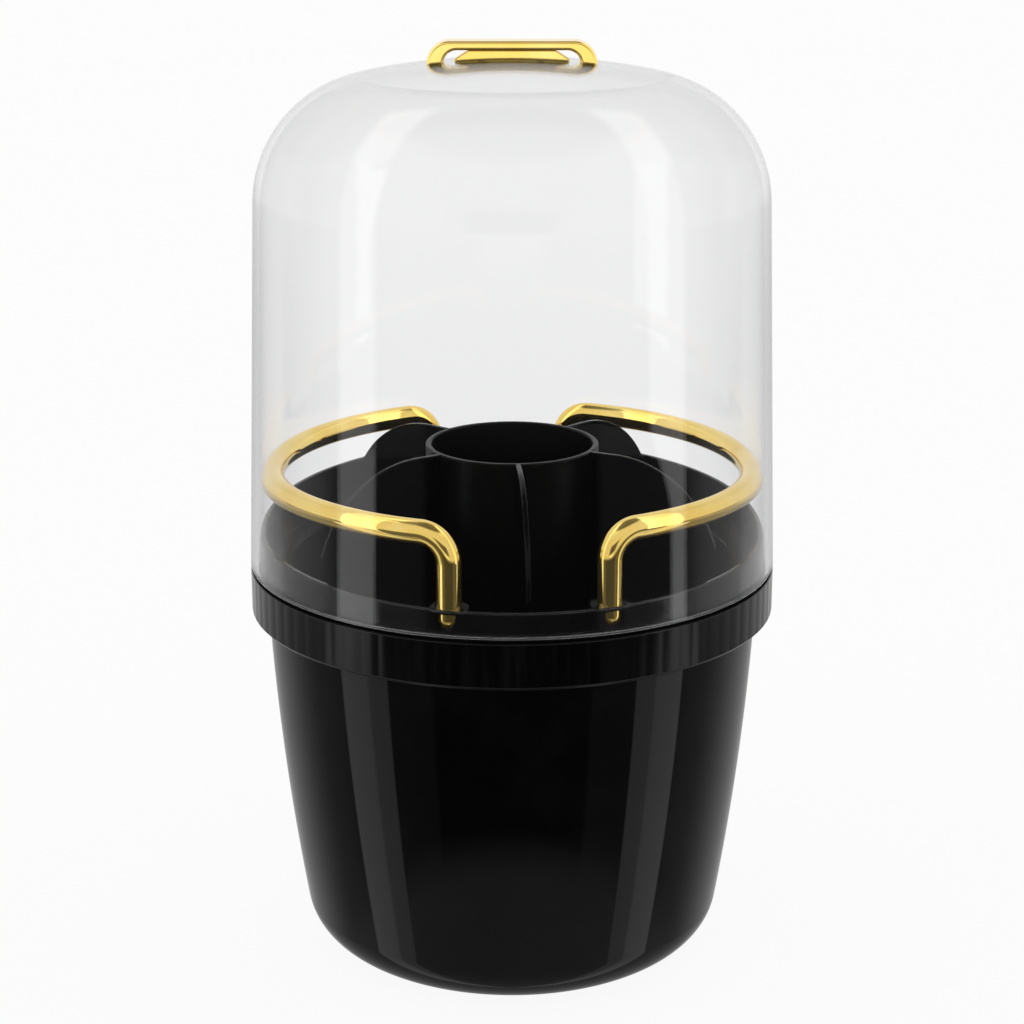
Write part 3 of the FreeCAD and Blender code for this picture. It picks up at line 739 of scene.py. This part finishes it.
def tray_outline(s):
    """The tray's section: a tapered bucket with a round foot, a flange and a rim that is still level."""
    floor_under, rim_top = bottom("tray"), s.seat + s.rim_height
    floor, flange = floor_under + s.bucket_wall, reach("tray")
    way = lean(s.bucket_lean)
    centre = np.array([s.bucket_foot, floor + s.bucket_corner])
    outer_corner = s.bucket_corner + s.bucket_wall
    out = np.array([way[1], -way[0]])
    outer, inner = centre + outer_corner * out, centre + s.bucket_corner * out
    return rounded([
        (0, floor_under, 0),
        corner(meet((0, floor_under), LEVEL, outer, way), outer_corner),
        corner(meet((0, s.web_top), LEVEL, outer, way), s.edge),
        (flange, s.web_top, s.edge),
        (flange, s.seat, s.edge),
        (s.rim_radius, s.seat, s.edge),
        (s.rim_radius, rim_top, s.rim_round),
        (s.rim_radius - s.rim_wall, rim_top, s.edge),
        (s.rim_radius - s.rim_wall, s.seat, s.edge),
        corner(meet((0, s.seat), LEVEL, inner, way), s.edge),
        corner(meet((0, floor), LEVEL, inner, way), s.bucket_corner),
        (0, floor, 0),
    ])


def window_outline(s, count):
    """A window's edge as two runs of (across, height) points: from the left side down round the sill to the
    right side, and back over the head. The sill is a half circle and the head is level."""
    centre, half = bottom("rail_right") + s.rail_tube, s.window_half
    head = s.seat + s.rim_height - s.window_bridge
    side, upper = (head - centre) * 0.4, (head - centre) * 0.5
    along = np.linspace(0, 2 * side + math.pi * half, count)
    turn = np.clip(along - side, 0, math.pi * half) / half
    rise = np.clip(side - along, 0, side) + np.clip(along - side - math.pi * half, 0, side)
    sill = np.stack([-half * np.cos(turn), centre - half * np.sin(turn) + rise], 1)
    along = np.linspace(0, 2 * upper + 2 * half, count)
    across = half - np.clip(along - upper, 0, 2 * half)
    height = head - upper + np.clip(along, 0, upper) - np.clip(along - upper - 2 * half, 0, upper)
    return np.concatenate([sill, np.stack([across, height], 1)])


def window_surfaces(s, turn, angles, low, high, rings=5):
    """One window in the rim: the wall round it is blended from its oblong edge to the window's, its sides
    run straight in by the depth and its floor is one polygon."""
    radius, count = s.rim_radius, len(angles)
    inner = window_outline(s, count)
    run = np.concatenate([angles, angles[::-1]])
    outer = np.stack([(run - turn) * radius, np.repeat([low, high], count)], 1)
    share_in = np.linspace(0, 1, rings)[:, None, None]
    flat = (outer + share_in * (inner - outer)).reshape(-1, 2)
    spot = turn + flat[:, 0] / radius
    normal = spokes(spot)[0]
    wall = normal * radius + flat[:, 1:] * UP
    out, right = spokes(turn)
    mouth = wall[-len(run):]
    tangent = np.roll(inner, -1, 0) - np.roll(inner, 1, 0)
    tangent /= np.linalg.norm(tangent, axis=1, keepdims=True)
    facing = -tangent[:, 1:] * right + tangent[:, :1] * UP
    floor = mouth - out * s.window_depth
    sides = np.concatenate([mouth, floor]), np.concatenate([facing, facing]), [grid_faces(2, len(run))]
    back = floor, np.repeat(out[None], len(run), 0), [np.arange(len(run))[None]]
    return [(wall, normal, [grid_faces(rings, len(run))]), sides, back]


def open_windows(tray, outline, s, segments, width):
    """Takes the rim's wall out of a turned tray at each rail foot and puts a window there."""
    place, normal, blocks = tray
    (radius, level), out = outline[0].T, outline[1][:, 0]
    upright = np.abs(out[:-1] - 1) + np.abs(out[1:] - 1) < HAIR
    outer = np.abs(radius[:-1] - s.rim_radius) < HAIR
    row = np.flatnonzero(upright & outer & (np.diff(level) > s.rim_round))[0]
    low, high = level[row], level[row + 1]
    step, surfaces = TAU / segments, []
    for x, y in foot_spots(s):
        turn = math.atan2(y, x)
        first = round(turn / step) - width // 2
        columns = first + np.arange(width + 1)
        taken = np.isin(blocks[0][:, 0], row * segments + columns[:-1] % segments)
        blocks = [blocks[0][~taken]] + blocks[1:]
        surfaces += window_surfaces(s, turn, columns * step, low, high)
    return [(place, normal, blocks)] + surfaces


def rim_lift(s, angles):
    """How far the rim stands above its front, by angle: it grows evenly from the front to the rear, and
    falls to nothing in a notch at each rail's foot."""
    lift = s.rim_rise * (1 + np.sin(angles)) / 2
    for x, y in foot_spots(s):
        apart = np.abs((angles - math.atan2(y, x) + math.pi) % TAU - math.pi) * s.rim_radius
        lift = lift * np.clip((apart - s.rail_tube) / s.rim_wall, 0, 1)
    return lift


def sloped(surface, s, step=1e-4):
    """A tray whose rim slopes and leans in with the cover: what stands above the rim's straight wall is
    lifted, its normals tilt back by the lift's change along the rim, and all of the rim is drawn in by its
    height."""
    place, normal, faces = surface
    angles = np.arctan2(place[:, 1], place[:, 0])
    out, around = spokes(angles)
    crest = place[:, 2] > s.seat + s.rim_height - s.rim_round - s.edge / 10
    slope = (rim_lift(s, angles + step) - rim_lift(s, angles - step)) / (2 * step * s.rim_radius)
    normal = normal - around * (crest * slope * normal[:, 2])[:, None]
    height = place[:, 2] + crest * rim_lift(s, angles)
    radius = np.hypot(place[:, 0], place[:, 1])
    drawn = radius - np.maximum(height - s.seat, 0) * math.tan(s.cover_draft)
    return drawn[:, None] * out + height[:, None] * UP, normal, faces


def boss(s, x, y, low, high, limit):
    """A round boss about a rail's foot, drawn in where it would pass a radius about the tray's axis."""
    normal = spokes(np.linspace(0, TAU, BOSS_STEPS, endpoint=False))[0][:, :2]
    ring = np.array([x, y]) + s.boss_radius * normal
    ring *= np.minimum(1, limit / np.linalg.norm(ring, axis=1))[:, None]
    middle = ((low + high) / 2 - s.edge / 10) * UP
    return slab((ring, normal), high - low, s.edge, middle, np.eye(3))


class HOLDER_OT_tray(bpy.types.Operator):
    """Turns the tray with its sloped rim, windows and bosses"""

    bl_idname = "holder.tray"
    bl_label = "Tray"

    def execute(self, context):
        s = sizes()
        outline = tray_outline(s)
        surfaces = open_windows(lathe(outline, RIM_STEPS), outline, s, RIM_STEPS, WINDOW_STEPS)
        surfaces = [sloped(surface, s) for surface in surfaces]
        high = s.seat + s.rim_height
        head = high - s.window_bridge
        for x, y in foot_spots(s):
            surfaces.append(boss(s, x, y, s.seat, head + s.edge / 5, s.rim_radius - s.window_depth))
            surfaces.append(boss(s, x, y, head, high, s.rim_radius - s.rim_wall / 2))
        finish = finishes()
        material = black_plastic("tray_black", finish.tray_roughness, finish.tray_index, TRAY_WAVE, s)
        add_piece("tray_insert", turned(merged(surfaces), s.tray_turn), material, "tray",
                  ["tray"])
        return {"FINISHED"}


class HOLDER_OT_tube(bpy.types.Operator):
    """Turns the middle tube"""

    bl_idname = "holder.tube"
    bl_label = "Middle tube"

    def execute(self, context):
        s, low, high = sizes(), bottom("center_tube"), top("center_tube")
        outer = reach("center_tube")
        inner = outer - s.tube_wall
        tube = lathe(rounded([
            (inner, low, s.edge), (outer, low, s.edge), (outer, high, s.tube_lip), (inner, high, s.tube_lip),
        ], closed=True), 192, loop=True)
        finish = finishes()
        material = black_plastic("tube_black", finish.tube_roughness, finish.inner_index, INNER_WAVE)
        add_piece("middle_tube", tube, material, "tray", ["center_tube"])
        return {"FINISHED"}


def divider_outline(s):
    """A divider's side view as (radius, height): square at the tube, round at the bucket's foot, tapered
    along its wall and rounded by a large quarter circle at its outer top corner."""
    low, high = bottom("divider_1"), top("divider_1")
    outer = np.array([s.divider_outer, s.seat])
    return rounded([
        (s.divider_inner, low, s.divider_edge),
        corner(meet((0, low), LEVEL, outer, lean(s.bucket_lean)), s.bucket_corner),
        corner(outer, s.bucket_corner),
        (s.divider_outer, high, s.divider_crest),
        (s.divider_inner, high, s.divider_edge),
    ], closed=True)


class HOLDER_OT_dividers(bpy.types.Operator):
    """Makes the dividers round the middle tube"""

    bl_idname = "holder.dividers"
    bl_label = "Dividers"

    def execute(self, context):
        s, finish = sizes(), finishes()
        material = black_plastic("divider_black", finish.divider_roughness, finish.inner_index, INNER_WAVE)
        outline = divider_outline(s)
        for number in DIVIDERS:
            low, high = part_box(f"divider_{number}")
            middle = (low + high) / 2
            out, around = spokes(math.atan2(middle.y, middle.x))
            plate = slab(outline, s.divider_thickness, s.divider_edge, np.zeros(3), (out, UP, -around))
            add_piece(f"divider_plate_{number}", plate, material, "tray",
                      [f"divider_{number}"])
        return {"FINISHED"}


def rail_surface(s, turn):
    """A rail: its middle line is a level arc, a tangent quarter bend at each end and a straight foot, and
    its rings shrink to a half ball at each tip."""
    tip = bottom("rail_right") + s.rail_tube
    drop = s.rail_level - s.rail_bend - tip
    arc = np.linspace(-s.rail_sweep, s.rail_sweep, RAIL_STEPS)
    bend = np.linspace(0, math.pi / 2, BEND_STEPS)[1:]
    cap = np.linspace(0, math.pi / 2, TIP_STEPS)[1:]
    end_out, end_way = spokes(s.rail_sweep)
    down = -UP
    end = s.rail_radius * end_out + s.rail_level * UP
    knee = end + s.rail_bend * (np.sin(bend)[:, None] * end_way + (1 - np.cos(bend))[:, None] * down)
    foot = knee[-1:] + drop * down
    ball = foot + s.rail_tube * np.sin(cap)[:, None] * down
    run = np.concatenate([knee, foot, ball])
    ways = np.concatenate([np.cos(bend)[:, None] * end_way + np.sin(bend)[:, None] * down,
                           np.repeat(down[None], 1 + len(cap), 0)])
    outs = np.repeat(end_out[None], len(run), 0)
    radius = np.concatenate([np.full(len(bend) + 1, s.rail_tube), s.rail_tube * np.cos(cap)])
    tilt = np.concatenate([np.zeros(len(bend) + 1), np.sin(cap)])
    mirror = np.array([1.0, -1.0, 1.0])
    arc_out, arc_way = spokes(arc)
    arc_run = s.rail_radius * arc_out + s.rail_level * UP
    centre = np.concatenate([(run * mirror)[::-1], arc_run, run])
    way = np.concatenate([-(ways * mirror)[::-1], arc_way, ways])
    out = np.concatenate([(outs * mirror)[::-1], arc_out, outs])
    radius = np.concatenate([radius[::-1], np.full(len(arc), s.rail_tube), radius])
    tilt = np.concatenate([-tilt[::-1], np.zeros(len(arc)), tilt])
    radius = np.maximum(radius, 1e-6)
    return turned(rod(centre, out, np.cross(way, out), radius, tilt), turn)


class HOLDER_OT_rails(bpy.types.Operator):
    """Bends the two gold rails"""

    bl_idname = "holder.rails"
    bl_label = "Rails"

    def execute(self, context):
        s, material = sizes(), gold_plate("rail_gold", finishes())
        for side, turn in (("right", s.tray_turn), ("left", s.tray_turn + math.pi)):
            add_piece(f"rail_rod_{side}", rail_surface(s, turn), material, "tray",
                      [f"rail_{side}"])
        return {"FINISHED"}


def crown(s):
    """The radius of the cover's crown and the height of its centre: the crown is tangent to the shoulder
    where the shoulder's slope is the crown's."""
    radius, seat = reach("dome"), s.seat
    x = radius - s.shoulder_start * math.tan(s.cover_draft) - s.shoulder * math.cos(s.cover_draft)
    z = seat + s.shoulder_start - s.shoulder * math.sin(s.cover_draft)
    ball = x / math.sin(s.crown_slope) + s.shoulder
    return ball, z + (s.shoulder - ball) * math.cos(s.crown_slope)


def cover_outline(s):
    """The cover's section: a drafted side, a round shoulder and a shallow crown, and the same inside."""
    radius, seat = reach("dome"), s.seat
    ball, level = crown(s)
    side = np.array([-math.sin(s.cover_draft), math.cos(s.cover_draft)])
    slope = np.array([-math.cos(s.crown_slope), math.sin(s.crown_slope)])
    join = np.array([ball * math.sin(s.crown_slope), level + ball * math.cos(s.crown_slope)])
    outer = (np.array([radius, seat]), join, np.array([0, level + ball]))
    ways = (side, slope, -LEVEL)
    inner = [inward(p, w, s.cover_wall) for p, w in zip(outer, ways)]
    bore = meet(inner[0], side, np.array([0, seat]), LEVEL)
    return rounded([
        corner(inner[2], 0),
        corner(meet(inner[2], LEVEL, inner[1], slope), ball - s.cover_wall),
        corner(meet(inner[1], slope, inner[0], side), s.shoulder - s.cover_wall),
        corner(bore, s.edge),
        corner(outer[0], s.edge),
        corner(meet(outer[0], side, outer[1], slope), s.shoulder),
        corner(meet(outer[1], slope, outer[2], LEVEL), ball),
        corner(outer[2], 0),
    ])


class HOLDER_OT_cover(bpy.types.Operator):
    """Turns the clear cover"""

    bl_idname = "holder.cover"
    bl_label = "Clear cover"

    def execute(self, context):
        material = clear_plastic("cover_clear", finishes())
        add_piece("cover_dome", lathe(cover_outline(sizes()), 360), material, "cover",
                  ["dome"])
        return {"FINISHED"}


def seated(surface, s):
    """A surface lifted to the cover's crown wherever it would reach below it."""
    place, normal, faces = surface
    ball, level = crown(s)
    floor = level + np.sqrt(ball**2 - place[:, 0]**2 - place[:, 1]**2)
    place[:, 2] = np.maximum(place[:, 2], floor + CROWN_GAP)
    return place, normal, faces


class HOLDER_OT_handle(bpy.types.Operator):
    """Makes the bridge handle and its block, and finishes the studs"""

    bl_idname = "holder.handle"
    bl_label = "Handle"

    def execute(self, context):
        s, material = sizes(), gold_plate("handle_gold", finishes())
        high, half = top("handle_arch"), s.handle_length / 2
        ball, level = crown(s)
        foot, under, gap = level + ball - s.handle_leg, high - s.handle_bar, half - s.handle_leg
        inner_end = s.handle_end - s.handle_bar
        axes = (np.array([1.0, 0, 0]), np.array([0, 0, 1.0]), np.array([0, -1.0, 0]))
        arch = slab(rounded([
            (gap, foot, s.handle_foot), (half, foot, s.handle_foot), (half, high, s.handle_end),
            (-half, high, s.handle_end), (-half, foot, s.handle_foot), (-gap, foot, s.handle_foot),
            (-gap, under, inner_end), (gap, under, inner_end),
        ], closed=True), s.handle_depth, s.handle_round, np.zeros(3), axes)
        add_piece("handle_bridge", seated(arch, s), material, "cover", ["handle_arch"])
        low_half, high_half, apex = s.block_length / 2, s.block_top / 2, level + ball
        block = slab(rounded([
            (-low_half, foot, 2 * s.edge), (low_half, foot, 2 * s.edge), (low_half, apex, 2 * s.edge),
            (high_half, under, 2 * s.edge), (-high_half, under, 2 * s.edge), (-low_half, apex, 2 * s.edge),
        ], closed=True), s.block_depth, s.edge, np.zeros(3), axes)
        add_piece("handle_centre", seated(block, s), material, "cover", ["handle_block"])
        dress_node("handle_studs", plain_grain("stud_steel", finishes().steel, 0.3, 1200.0, 1.0))
        return {"FINISHED"}


def plain_sight(flow):
    """1 for rays from the eye that met nothing or only passed through clear plastic, and 0 for others."""
    path = "ShaderNodeLightPath"
    bounces = flow.node(path, output="Glossy Depth") + flow.node(path, output="Diffuse Depth")
    return bounces.maths("LESS_THAN", bounces, 0.5)


def floor_material(strength):
    """A pale floor that shows white to the eye and through the clear cover and keeps a soft shadow."""
    material, flow, coords = new_material("floor_pale")
    tone = coords.noise(3.0, 2.0)
    tone = tone.blend(opaque(FLOOR_DARK), opaque(FLOOR_PALE))
    pale = flow.node("ShaderNodeBsdfDiffuse", {}, {"Color": tone})
    white = flow.node("ShaderNodeEmission", {}, {
        "Color": (1, 1, 1, 1), "Strength": plain_sight(flow) * strength})
    settle(flow, flow.node("ShaderNodeAddShader", {}, {0: pale, 1: white}))
    return material


def studio_world(studio):
    """Soft studio light by direction: two tall side lights that lean back overhead, a pale rear and a dim
    front. The eye, and what it sees through the clear cover, meets plain white."""
    world = bpy.data.worlds.new("studio")
    world.use_nodes = True
    world.node_tree.nodes.clear()
    flow = Flow(world.node_tree)
    way = flow.node("ShaderNodeTexCoord", output="Generated")
    x, y, z = way.parts()
    across = (x * x + y * y + 1e-6).root()
    front = (0 - y) / across
    shrink = across.towards(1, z.smooth(*HORIZON))
    side, back = x.size() / shrink, y / shrink
    level, band = z.smooth(*COVER_RISE), z.between(RAIL_RISE, RAIL_FALL)
    strip = (side + back * INNER_LEAN - band * x.smooth(*MIDDLE) * INNER_STEP).smooth(*STRIP_INNER)
    strip = strip * (1 - back.smooth(*STRIP_BACK))
    strip = strip * (1 - (side + back * OUTER_LEAN + level * OUTER_STEP).smooth(*STRIP_OUTER))
    loss = (1 - level) * (LOW_LOSS + front.smooth(*LOW_FRONT) * LOW_FRONT_LOSS)
    low = studio.front_light + front.smooth(*DARK_FRONT) * (studio.dark_light - studio.front_light)
    low = low.towards(studio.side_light + band * studio.side_glow, 1 - front.smooth(*SIDE_FRONT))
    rear = front.smooth(*REAR_FRONT).towards(front.smooth(*REAR_COVER_FRONT), level)
    low = low.towards(studio.rear_light + level * studio.rear_glow, 1 - rear)
    low = low.towards(studio.under_light, 1 - z.smooth(*UNDER_RISE))
    plain = low.towards(studio.sky_light, z.smooth(*SKY_RISE))
    plain = plain.towards(studio.front_light, z.between(DUSK_RISE, DUSK_FALL) * front.smooth(*DUSK_FRONT))
    plain = plain.towards(studio.zenith_light, z.smooth(*ZENITH_RISE))
    plain = plain + front.smooth(*CARD_FRONT) * z.between(CARD_RISE, CARD_FALL) * studio.card_light
    glow = plain.towards((1 - loss) * studio.strip_light, strip)
    seen = plain_sight(flow)
    strength = seen + (1 - seen) * glow
    light = flow.node("ShaderNodeBackground", {}, {"Color": (1, 1, 1, 1), "Strength": strength})
    flow.node("ShaderNodeOutputWorld", {}, {"Surface": light})
    return world


class HOLDER_OT_stage(bpy.types.Operator):
    """Sets the floor, the light and the camera"""

    bl_idname = "holder.stage"
    bl_label = "Stage"

    def execute(self, context):
        scene, studio = context.scene, context.scene.holder_studio
        half = studio.floor_size / 2
        mesh = bpy.data.meshes.new("floor")
        spots = ((-half, -half), (half, -half), (half, half), (-half, half))
        mesh.from_pydata([(x, y, -FLOOR_DROP) for x, y in spots], [], [(0, 1, 2, 3)])
        mesh.materials.append(floor_material(studio.floor_white))
        floor = bpy.data.objects.new("floor", mesh)
        scene.collection.objects.link(floor)
        floor.visible_glossy = floor.visible_transmission = False
        scene.world = studio_world(studio)
        eye = bpy.data.cameras.new("eye")
        eye.lens = studio.lens
        eye.sensor_width = 36.0
        eye.clip_start, eye.clip_end = 0.01, 60.0
        camera = bpy.data.objects.new("eye", eye)
        camera.location = (0, -studio.eye_back, studio.eye_height)
        camera.rotation_euler = (math.pi / 2 - studio.tilt, 0, 0)
        scene.collection.objects.link(camera)
        scene.camera = camera
        scene.view_settings.view_transform = "Standard"
        return {"FINISHED"}


OPERATORS = (
    HOLDER_OT_stage, HOLDER_OT_cup, HOLDER_OT_pads, HOLDER_OT_collar, HOLDER_OT_tray, HOLDER_OT_tube,
    HOLDER_OT_dividers, HOLDER_OT_rails, HOLDER_OT_cover, HOLDER_OT_handle,
)


class HOLDER_PT_panel(bpy.types.Panel):
    """Lists the steps that build the brush holder"""

    bl_idname = "HOLDER_PT_panel"
    bl_label = "Brush holder"
    bl_space_type = "VIEW_3D"
    bl_region_type = "UI"
    bl_category = "Brush holder"

    def draw(self, context):
        for operator in OPERATORS:
            self.layout.operator(operator.bl_idname)


CLASSES = (HolderSizes, HolderFinish, HolderStudio, *OPERATORS, HOLDER_PT_panel)


def register():
    for cls in CLASSES:
        bpy.utils.register_class(cls)
    bpy.types.Scene.holder_sizes = PointerProperty(type=HolderSizes)
    bpy.types.Scene.holder_finish = PointerProperty(type=HolderFinish)
    bpy.types.Scene.holder_studio = PointerProperty(type=HolderStudio)


def unregister():
    for name in ("holder_sizes", "holder_finish", "holder_studio"):
        delattr(bpy.types.Scene, name)
    for cls in reversed(CLASSES):
        bpy.utils.unregister_class(cls)


def main():
    register()
    for operator in OPERATORS:
        group, name = operator.bl_idname.split(".")
        getattr(getattr(bpy.ops, group), name)()


if __name__ == "__main__":
    main()
